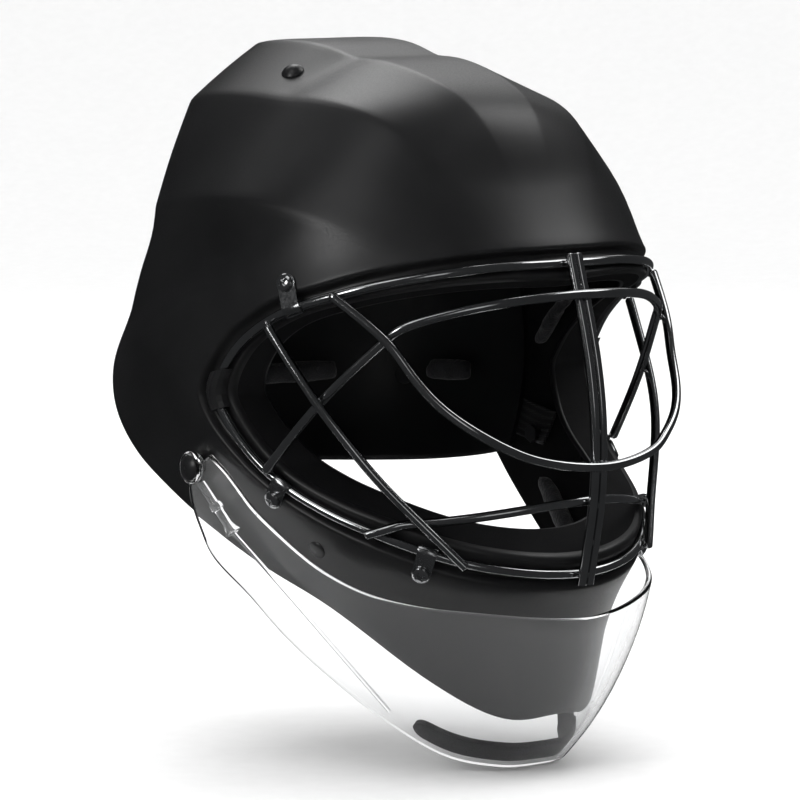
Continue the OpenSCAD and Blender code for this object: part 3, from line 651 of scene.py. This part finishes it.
def plated_steel(name, dark, light, smoothest, roughest):
    made, tree, shader = new_finish(name, Metallic=1.0)
    cloud = grain(tree, scale=45.0)
    scratches = grain(tree, scale=700.0, detail=4.0)
    tree.links.new(tint(tree, cloud, dark, light), shader.inputs["Base Color"])
    tree.links.new(between(tree, scratches, smoothest, roughest), shader.inputs["Roughness"])
    raised(tree, shader, scratches, depth=0.00002)
    return made


black_chrome = plated_steel("black_chrome", dark=(0.36, 0.365, 0.37), light=(0.46, 0.465, 0.47),
                            smoothest=0.10, roughest=0.18)
ring_path = [skin_mm(u, 0, ring_height) for u in turns]
bars = [[np.array([side * bar_spacing / 2, 0, 0]) + p for p in bent(centre_bar, steps=60)]
        for side in (-1, 1)]
eye_loop = bent(whole(eye_wire), steps=150)
chin_loop = bent(whole(chin_wire), steps=150)
mouth_loop = bent(whole(mouth_wire), steps=120)
sides = [bent(side_wire, steps=60), bent(flipped(side_wire), steps=60)]
wire_piece("cage_ring_wire", [ring_path], "cage_ring", closed=True)
wire_piece("cage_centre_wires", bars, "cage_centre_bars")
wire_piece("cage_eye_loop", [eye_loop], "cage_eye_wire")
wire_piece("cage_chin_loop", [chin_loop], "cage_chin_wire")
wire_piece("cage_mouth_loop", [mouth_loop], "cage_mouth_wire")
wire_piece("cage_side_bars", sides, "cage_side_wires")


# The cage is resistance welded before it is plated. Where two wires touch, the weld leaves
# a small rippled bead of steel between them.
bead_reach = 1.7
bead_flatness = 0.62
bead_ripple = 0.06
bead_ripples = 5
bead_sides = 10
bead_rows = 7
bead_end = 0.25
bead_facing = [0.3, 0.5, 0.8]
bead_spacing = 3 * bead_reach
weld_clearance = 15
touching = wire_d * 1.16
wire_paths = [ring_path, *bars, eye_loop, chin_loop, mouth_loop, *sides]


def weld_places():
    found = []
    for i, first in enumerate(wire_paths):
        for second in wire_paths[i + 1:]:
            a, b = np.array(first), np.array(second)
            gaps = np.linalg.norm(a[:, None] - b[None], axis=2)
            while gaps.min() < touching:
                k, l = np.unravel_index(gaps.argmin(), gaps.shape)
                middle = (a[k] + b[l]) / 2
                if all(np.linalg.norm(middle - other[0]) > bead_spacing for other in found):
                    found.append((middle, unit(a[k] - b[l])))
                gaps[np.linalg.norm(a - a[k], axis=1) < weld_clearance] = np.inf
    return found


def weld_beads():
    beads = None
    for number, (middle, across) in enumerate(weld_places()):
        side = unit(np.cross(across, bead_facing))
        ahead = np.cross(side, across)
        rows = []
        for polar in np.linspace(bead_end, math.pi - bead_end, bead_rows):
            ripple = 1 + bead_ripple * math.sin(bead_ripples * polar + number)
            row = []
            for k in range(bead_sides):
                turn = 2 * math.pi * k / bead_sides
                out = math.cos(turn) * side + math.sin(turn) * ahead
                height = math.cos(polar) * bead_flatness * wire_d / 2
                row.append(middle + across * height + out * bead_reach * math.sin(polar) * ripple)
            rows.append(row)
        bead = loft("cage_weld_beads", rows, caps=True)
        if beads is None:
            beads = bead
        else:
            join(beads, bead)
    return beads


beads = weld_beads()
subdivide(beads)
beads.data.materials.append(black_chrome)
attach(beads, "shell")


# Six stamped steel clips hook over the ring, each under one cross-head M4 screw with a
# nut inside the shell. Two moulded saddles hold the ring's tips. Their edges are
# rounded by the tools that press and cut them.
edge_round = 0.00025
clip_edge_round = 0.0003
saddle_edge_round = 0.0004
same_point = 0.00001
edge_angle = math.radians(35)


def finish_node(node, material, rounding=edge_round):
    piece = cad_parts[node]
    piece.data.materials.clear()
    piece.data.materials.append(material)
    piece.modifiers.new("one_skin", "WELD").merge_threshold = same_point
    bevel = piece.modifiers.new("rounded_edges", "BEVEL")
    bevel.width = rounding
    bevel.segments = 2
    bevel.limit_method = "ANGLE"
    bevel.angle_limit = edge_angle
    bevel.harden_normals = True


clip_steel = plated_steel("plated_clip_steel", dark=(0.28, 0.285, 0.29),
                          light=(0.40, 0.405, 0.41), smoothest=0.16, roughest=0.28)
screw_steel = plated_steel("plated_screw_steel", dark=(0.42, 0.425, 0.43),
                           light=(0.55, 0.555, 0.56), smoothest=0.08, roughest=0.16)
nut_steel = plated_steel("blackened_nut_steel", dark=(0.05, 0.05, 0.052),
                         light=(0.08, 0.08, 0.083), smoothest=0.30, roughest=0.45)
fitting_plastic = moulded_plastic("black_fitting_plastic", dark=(0.005, 0.005, 0.0055),
                                  light=(0.009, 0.009, 0.0095), smoothest=0.30, roughest=0.40,
                                  waviness=0.00001)
for node in ("upper_clips", "jaw_clips", "chin_clips"):
    finish_node(node, clip_steel, clip_edge_round)
finish_node("clip_screws", screw_steel)
finish_node("clip_nuts", nut_steel)
finish_node("saddle_screws", nut_steel)
finish_node("cage_saddles", fitting_plastic, saddle_edge_round)
finish_node("crown_rivets", fitting_plastic)
finish_node("chin_strap_plugs", fitting_plastic)


# The back plate is a bowl of the same black plastic, 3.5 mm thick with a rolled rim and
# two shallow stiffening ribs. It slides back on its elastic straps to fit the head.
plate_wall = 3.5
plate_low = -30
plate_rows = np.array([
    [104, 104, 112, 2.6, 2.6],
    [106, 106, 117, 2.6, 2.6],
    [109, 109, 119, 2.6, 2.6],
    [110, 110, 122, 2.5, 2.5],
    [114, 114, 130, 2.4, 2.4],
    [124, 124, 146, 2.3, 2.3],
    [136, 136, 160, 2.2, 2.2],
    [144, 144, 156, 2.2, 2.2]])
# Heading, then the elevation of the lower and of the upper edge
plate_edges = np.array([[106, -24, 40], [110, -25.5, 47], [118, -26.5, 55], [130, -27, 62],
                        [145, -27, 67], [162, -27, 70], [180, -27, 71]])
plate_columns = 120
plate_steps = 40
rib_height = 0.6
rib_places = (0.3, 0.62)
rib_width = 0.035
rib_run_out = 12
rib_inside = 0.8
# The rim keeps this share of the height, and rolls over along these shares and depths
rim_share = 0.012
rolled_rim = [(0.004, 0.3), (0.0, 0.9), (-0.002, 1.75), (0.0, 2.6), (0.004, 3.2)]


def plate_skin(az, el, height):
    d = heading(az, el)
    p = d * reach_in(plate_rows, plate_low, d)
    return p + unit(p) * height


def plate_edge(i, count):
    half = count / 2
    e = along(plate_edges, (half - abs(i - half)) / half * (len(plate_edges) - 1))
    return e if i <= half else np.array([360 - e[0], e[1], e[2]])


def plate_rib(i, s):
    ends = smooth(min(i, plate_columns - i) / rib_run_out)
    ribs = sum(math.exp(-(((s - place) / rib_width) ** 2)) for place in rib_places)
    return rib_height * ends * ribs


def plate_section(i):
    az, low, high = plate_edge(i, plate_columns)
    up = np.linspace(rim_share, 1 - rim_share, plate_steps)
    outer = [plate_skin(az, lerp(low, high, s), plate_rib(i, s)) for s in up]
    inner = [plate_skin(az, lerp(low, high, s), plate_rib(i, s) * rib_inside - plate_wall)
             for s in up[::-1]]
    top = [plate_skin(az, lerp(low, high, 1 - s), -depth) for s, depth in rolled_rim]
    bottom = [plate_skin(az, lerp(low, high, s), -depth) for s, depth in rolled_rim[::-1]]
    return outer + top + inner + bottom


plate_sections = [plate_section(i) for i in range(plate_columns + 1)]
back_plate = loft("moulded_back_plate", plate_sections, caps=True)
back_plate.data.materials.append(shell_plastic)
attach(back_plate, "back_plate")
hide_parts("back_plate")


# Foam pads in the same knit are glued inside the back plate: one behind the head, one
# at the nape and one at each side below the ears.
def under_plate(az, el, depth):
    return plate_skin(az, el, -plate_wall - pad_gap - depth)


plate_pad_thickness = 12.8
side_pad_heading = 127.5
back_pad = liner_pad("liner_back", under_plate, [180, 26], [44, 14], plate_pad_thickness,
                     "back_pad", "back_plate", corners=64)
nape_pad = liner_pad("liner_nape", under_plate, [180, -4.5], [28, 6.5], plate_pad_thickness,
                     "nape_pad", "back_plate", corners=64)
for side, label in both_sides:
    liner_pad("liner_plate_side_" + label, under_plate, [side * side_pad_heading, -4.5],
              [7.5, 6.5], plate_pad_thickness, "plate_side_pads", "back_plate")
for channel in (-40, 0, 40):
    sew(back_pad, (1, 0, 0), channel)
sew(nape_pad, (1, 0, 0), 0)


# Four straps of flat elastic webbing tie the plate to the shell: two from the crown
# rivets and two from the guard's pins. They are woven, 1.6 mm thick, and stretch as the
# plate slides.
strap_thickness = 1.6
crown_strap_width = 22
side_strap_width = 17.6
# Heading, elevation and height over the plate
crown_strap_path = [[105.1, 70.2, 0.9], [113.6, 69.8, 0.9], [128, 68.5, 0.9], [143, 65, 0.7],
                    [153, 58, 0.5], [158, 53, 0.5], [160, 50, 0.5], [161, 46, 0.5]]
side_strap_path = [[94.5, -18.3, 1.4], [97.8, -17.7, 1.4], [108, -15, 0.8], [120, -10.5, 0.5],
                   [130, -8, 0.5], [139, -6, 0.5], [143, -5.5, 0.5]]
strap_steps = 60
strap_section = [(-0.5, 0.5), (-0.47, 0.85), (-0.4, 1), (-0.2, 1), (0, 1), (0.2, 1), (0.4, 1),
                 (0.47, 0.85), (0.5, 0.5), (0.47, 0.15), (0.4, 0), (0.2, 0), (0, 0), (-0.2, 0),
                 (-0.4, 0), (-0.47, 0.15)]


def strap_rows(path, width):
    points = curve(path, strap_steps)

    def middle(i):
        az, el, height = points[min(max(i, 0), strap_steps)]
        return plate_skin(az, el, height)

    rows = []
    for i in range(strap_steps + 1):
        across = unit(np.cross(middle(i + 1) - middle(i - 1), middle(i)))
        row = []
        for share, layer in strap_section:
            d = unit(middle(i) + across * share * width)
            base = d * reach_in(plate_rows, plate_low, d)
            row.append(base + unit(base) * (points[i][2] + layer * strap_thickness))
        rows.append(row)
    return rows


def woven_webbing(name):
    made, tree, shader = new_finish(name, Specular_IOR_Level=0.3, Sheen_Weight=0.25,
                                    Sheen_Roughness=0.4)
    place = add(tree, "TexCoord").outputs["Object"]
    warp = add(tree, "TexWave", Vector=place, Scale=260.0, Distortion=0.6, bands_direction="X")
    weft = add(tree, "TexWave", Vector=place, Scale=380.0, Distortion=0.4, bands_direction="Z")
    weave = add(tree, "Math", operation="MULTIPLY")
    tree.links.new(warp.outputs["Fac"], weave.inputs[0])
    tree.links.new(weft.outputs["Fac"], weave.inputs[1])
    threads = weave.outputs[0]
    tree.links.new(tint(tree, threads, dark=(0.008, 0.008, 0.009), light=(0.022, 0.022, 0.024)),
                   shader.inputs["Base Color"])
    tree.links.new(between(tree, threads, low=0.7, high=0.85), shader.inputs["Roughness"])
    raised(tree, shader, threads, depth=0.0003)
    return made


webbing = woven_webbing("elastic_webbing")
for node, path, width in (("crown_straps", crown_strap_path, crown_strap_width),
                          ("side_straps", side_strap_path, side_strap_width)):
    for side, label in both_sides:
        rows = [[p if side > 0 else mirrored(p) for p in row] for row in strap_rows(path, width)]
        strap = loft(node[:-1] + "_" + label, rows, caps=True)
        strap.data.materials.append(webbing)
        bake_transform(strap)
        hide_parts(node)
finish_node("plate_rivets", fitting_plastic)


# The throat guard is a 3 mm sheet of clear polycarbonate, drape-formed into a bowl with
# flame-polished edges. Each ear turns on a pin through the shell.
guard_wall = 3
guard_columns = 120
guard_steps = 30
guard_bulge = 12
guard_pin = np.array([-113, 15.5, -36.5])
ear_d = 15
ear_round = 0.6
ear_cut_depth = 6
pin_hole_d = 5.16
drill_reach = 12
pin_sides = 64
guard_upper = [[-115, 1, -29.5], [-113.4, -8, -36], [-111.8, -17, -44.3], [-109.7, -27.5, -54.1],
               [-102.1, -48.7, -70.8], [-94, -61, -80.5], [-86, -80, -88], [-72, -98.5, -93],
               [-51, -115.5, -96], [-25, -127.5, -99], [0, -132.5, -100.5]]
guard_lower = [[-115, 17.5, -40.5], [-114, 17.5, -52], [-111, 14, -66], [-107, 8, -80],
               [-97.5, -5.7, -96.3], [-86.5, -15.8, -113.6], [-73.5, -28.5, -130.9],
               [-57.5, -49.3, -151.1], [-38.5, -73.3, -169.1], [-20.5, -92.5, -174.3],
               [0, -97, -174.8]]
guard_places = len(guard_upper) - 1
upper_line = np.array(whole(guard_upper), float)
lower_line = np.array(whole(guard_lower), float)
guard_slope = 0.05
# The flame-polished edge: shares of its rounding, and depths into the sheet
guard_rounding = 1.2
polished_edge = [(1.0, 0.06), (0.45, 0.45), (0.1, 1.0), (0.0, 1.5), (0.1, 2.0), (0.45, 2.55),
                 (1.0, 2.94)]


def guard_skin(i, s):
    v = guard_places * (1 - abs(i - guard_columns / 2) * 2 / guard_columns)
    p = lerp(along(upper_line, v), along(lower_line, v), s)
    bulge = guard_bulge * v / guard_places * 4 * s * (1 - s)
    p = p + unit(np.array([p[0], p[1], 0])) * bulge
    return p if i <= guard_columns / 2 else mirrored(p)


def guard_normal(i, s):
    a = guard_skin(min(guard_columns, i + 1), s) - guard_skin(max(0, i - 1), s)
    b = guard_skin(i, min(1, s + guard_slope)) - guard_skin(i, max(0, s - guard_slope))
    return unit(np.cross(b, a))


def guard_point(i, s, depth):
    return guard_skin(i, s) - guard_normal(i, s) * depth


def guard_section(i):
    height = max(np.linalg.norm(guard_skin(i, 1) - guard_skin(i, 0)), 1)
    edge = guard_rounding / height
    face = np.linspace(edge, 1 - edge, guard_steps)
    outer = [guard_point(i, s, 0) for s in face]
    lower = [guard_point(i, 1 - share * edge, depth) for share, depth in polished_edge]
    inner = [guard_point(i, s, guard_wall) for s in face[::-1]]
    upper = [guard_point(i, share * edge, depth) for share, depth in polished_edge[::-1]]
    return outer + lower + inner + upper


# A disc or drill on the pin's line, from one distance off the shell to another
def pin_cylinder(name, diameter, low, high, side, rounding=0):
    rows = []
    profile = ((low, rounding), (low + rounding, 0), (high - rounding, 0), (high, rounding))
    for reach, inset in profile:
        row = []
        for k in range(pin_sides):
            turn = 2 * math.pi * k / pin_sides
            across = np.array([0, math.cos(turn), math.sin(turn)]) * (diameter / 2 - inset)
            row.append(guard_pin * [side, 1, 1] + across + np.array([-side * reach, 0, 0]))
        rows.append(row)
    return loft(name, rows, caps=True)


def cut_or_join(piece, tool, operation):
    change = piece.modifiers.new("shaped", "BOOLEAN")
    change.operation = operation
    change.solver = "EXACT"
    change.object = tool
    apply_modifiers(piece)
    bpy.data.objects.remove(tool)


def clear_plastic(name, smoothest):
    made, tree, shader = new_finish(name, Transmission_Weight=1.0, IOR=1.49)
    cloud = grain(tree, scale=30.0)
    ripples = grain(tree, scale=9.0, detail=1.0)
    tree.links.new(tint(tree, cloud, dark=(0.975, 0.98, 0.985), light=(0.99, 0.993, 0.996)),
                   shader.inputs["Base Color"])
    tree.links.new(between(tree, cloud, low=smoothest, high=smoothest * 2.5),
                   shader.inputs["Roughness"])
    raised(tree, shader, ripples, depth=0.00001)
    return made


guard_sections = [guard_section(i) for i in range(guard_columns + 1)]
throat_guard = loft("clear_throat_guard", guard_sections, caps=True)
for side in (1, -1):
    ear_face = pin_cylinder("ear_face", ear_d, -ear_cut_depth, 0, side)
    ear = pin_cylinder("ear", ear_d, 0, guard_wall, side, ear_round)
    pin_hole = pin_cylinder("pin_hole", pin_hole_d, -drill_reach, drill_reach, side)
    cut_or_join(throat_guard, ear_face, "DIFFERENCE")
    cut_or_join(throat_guard, ear, "UNION")
    cut_or_join(throat_guard, pin_hole, "DIFFERENCE")
throat_guard.data.shade_smooth()
throat_guard.data.set_sharp_from_angle(angle=edge_angle)
throat_guard.data.materials.append(clear_plastic("clear_polycarbonate", smoothest=0.004))
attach(throat_guard, "throat_guard")
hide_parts("throat_guard")


# A strip of black closed-cell foam is stuck inside the guard's lower edge, where it
# would meet the chest. It is cut from sheet, 3 mm thick.
strip_thickness = 3
strip_start = 45
strip_low = 0.86
strip_high = 0.97
strip_gap = 0.5
strip_finish = guard_columns - strip_start
# The strip's ends are rounded over one column of the guard
strip_end_places = [0, 0.08, 0.2, 0.4, 0.65]
end_width_squared = 0.02
# Its section as shares of its height and thickness
soft_corner = [(0.12, 0.0), (0.03, 0.08), (0.0, 0.3), (0.0, 0.7), (0.05, 0.93), (0.15, 1.0)]
flat_places = (0.35, 0.5, 0.65)


def strip_section(i):
    from_end = min(i - strip_start, strip_finish - i, 1)
    width = math.sqrt(max(1 - (1 - from_end) ** 2, end_width_squared))
    section = soft_corner + [(s, 1.0) for s in flat_places]
    section += [(1 - s, d) for s, d in soft_corner[::-1]]
    section += [(s, 0.0) for s in flat_places[::-1]]
    points = []
    for s, d in section:
        up = lerp(strip_low, strip_high, 0.5 + (s - 0.5) * width)
        points.append(guard_point(i, up, guard_wall + strip_gap + d * strip_thickness))
    return points


strip_places = [strip_start + place for place in strip_end_places]
strip_places += range(strip_start + 1, strip_finish)
strip_places += [strip_finish - place for place in strip_end_places[::-1]]
edge_foam = loft("guard_edge_foam", [strip_section(i) for i in strip_places], caps=True)
edge_foam.data.materials.append(pad_knit)
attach(edge_foam, "throat_guard")
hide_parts("guard_foam_strip")


# The guard's pins are black nylon with a domed head and a hexagon inside. A black
# spacer sits under each ear, with a clear ring and toggle moulded to hang from it.
hook_edge_round = 0.0001
finish_node("guard_pins", fitting_plastic)
finish_node("guard_spacers", fitting_plastic)
toggle_plastic = clear_plastic("clear_toggle_plastic", smoothest=0.03)
finish_node("guard_hooks", toggle_plastic, hook_edge_round)
finish_node("guard_toggles", toggle_plastic)


# A clear elastic cord, 1.8 mm thick, runs taut from each toggle to the guard's inner
# face near its lower rim, where it ends just before the foam strip.
cord_d = 1.8
cord_path = [[-102.5, -2, -66], [-54, -57.1, -147.2]]
cord_gap = 0.4
cord_steps = 40
cord_sides = 16


def cord_rows(side):
    start, end = (np.array(point) * [side, 1, 1] for point in cord_path)
    along_cord = unit(end - start)
    across = unit(np.cross(along_cord, [0, 0, 1]))
    over = np.cross(along_cord, across)
    turns_round = [2 * math.pi * k / cord_sides for k in range(cord_sides)]
    ring = [(math.cos(a) * across + math.sin(a) * over) * cord_d / 2 for a in turns_round]
    middles = np.linspace(start + along_cord * cord_gap, end, cord_steps + 1)
    return [[middle + out for out in ring] for middle in middles]


for side, label in both_sides:
    rows = cord_rows(side)
    cord = loft("guard_cord_" + label, rows, caps=True)
    cord.data.materials.append(toggle_plastic)
    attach(cord, "throat_guard")
    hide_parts("guard_cords")


# The stage is a round white studio whose floor sweeps up into its wall, under soft
# lights, with the camera where the photograph was taken from.
floor_height = -0.176
studio_radius = 4.0
sweep_radius = 1.5
studio_height = 5.0
studio_sides = 96
sweep_steps = 25


def studio_line():
    line = []
    for turn in np.linspace(0, math.pi / 2, sweep_steps):
        out = studio_radius - sweep_radius * (1 - math.sin(turn))
        line.append((out, floor_height + sweep_radius * (1 - math.cos(turn))))
    return line + [(studio_radius, studio_height)]


def studio_ring(out, height):
    turns_round = [2 * math.pi * k / studio_sides for k in range(studio_sides)]
    return [np.array([out * math.cos(a), out * math.sin(a), height]) / MM for a in turns_round]


sweep_rings = [studio_ring(out, height) for out, height in studio_line()]
sweep = loft("studio_sweep", sweep_rings, caps=True)
paper, paper_tree, paper_shader = new_finish("matt_paper", Specular_IOR_Level=0.1)
fibres = grain(paper_tree, scale=90.0)
paper_tree.links.new(tint(paper_tree, fibres, dark=(0.84, 0.84, 0.84), light=(0.86, 0.86, 0.86)),
                     paper_shader.inputs["Base Color"])
paper_tree.links.new(between(paper_tree, fibres, low=0.88, high=0.94),
                     paper_shader.inputs["Roughness"])
sweep.data.materials.append(paper)


def softbox(name, place, size, power):
    data = bpy.data.lights.new(name, "AREA")
    data.shape = "RECTANGLE"
    data.size, data.size_y = size
    data.energy = power
    lamp = bpy.data.objects.new(name, data)
    lamp.location = place
    lamp.rotation_euler = (-Vector(place)).to_track_quat("-Z", "Y").to_euler()
    lamp.visible_camera = False
    bpy.context.scene.collection.objects.link(lamp)
    return lamp


# Heading and elevation in degrees, width and height in metres, power in watts
softbox_distance = 2.0
softboxes = (
    ("left_softbox", 82, 22, (0.55, 0.6), 8.5),
    ("left_high_softbox", 80, 55, (0.9, 0.9), 3),
    ("back_left_softbox", 180, 50, (0.7, 0.7), 2.2),
    ("back_high_softbox", 215, 52, (0.7, 0.7), 6.8),
    ("back_wide_softbox", 225, 40, (1.2, 1.2), 5),
    ("far_side_softbox", 283, 50, (0.9, 0.9), 8.5),
    ("front_softbox", 30, 15, (0.5, 0.9), 1))
for name, az, el, size, power in softboxes:
    softbox(name, heading(az, el) * softbox_distance, size, power)

# The ceiling panel only whitens the paper: the helmet mirrors the softboxes, not it
ceiling_place = (0, 0, 3.6)
ceiling_size = (5, 5)
ceiling_power = 138
ceiling_panel = softbox("ceiling_panel", ceiling_place, ceiling_size, ceiling_power)
ceiling_panel.visible_glossy = False
sweep.visible_glossy = False

air_colour = (0.85, 0.87, 0.9, 1)
air_light = 0.05
world = bpy.data.worlds.new("studio_air")
world.use_nodes = True
world.node_tree.nodes["Background"].inputs["Color"].default_value = air_colour
world.node_tree.nodes["Background"].inputs["Strength"].default_value = air_light
bpy.context.scene.world = world
bpy.context.scene.view_settings.view_transform = "Standard"

# Where the camera stands in metres, its three axes, and its lens and sensor in millimetres
camera_place = (-1.4710, -1.7516, 0.2406)
camera_right = Vector((0.766, -0.643, 0.0))
camera_up = Vector((0.0705, 0.0841, 0.994))
camera_back = Vector((-0.6389, -0.7614, 0.1097))
camera_lens = 217.35
camera_sensor = 36
camera_sees_to = 50
lens = bpy.data.cameras.new("photo_camera")
lens.lens = camera_lens
lens.sensor_width = camera_sensor
lens.clip_end = camera_sees_to
camera = bpy.data.objects.new("photo_camera", lens)
axes = Matrix((camera_right, camera_up, camera_back)).transposed().to_4x4()
camera.matrix_world = Matrix.Translation(camera_place) @ axes
bpy.context.scene.collection.objects.link(camera)
bpy.context.scene.camera = camera
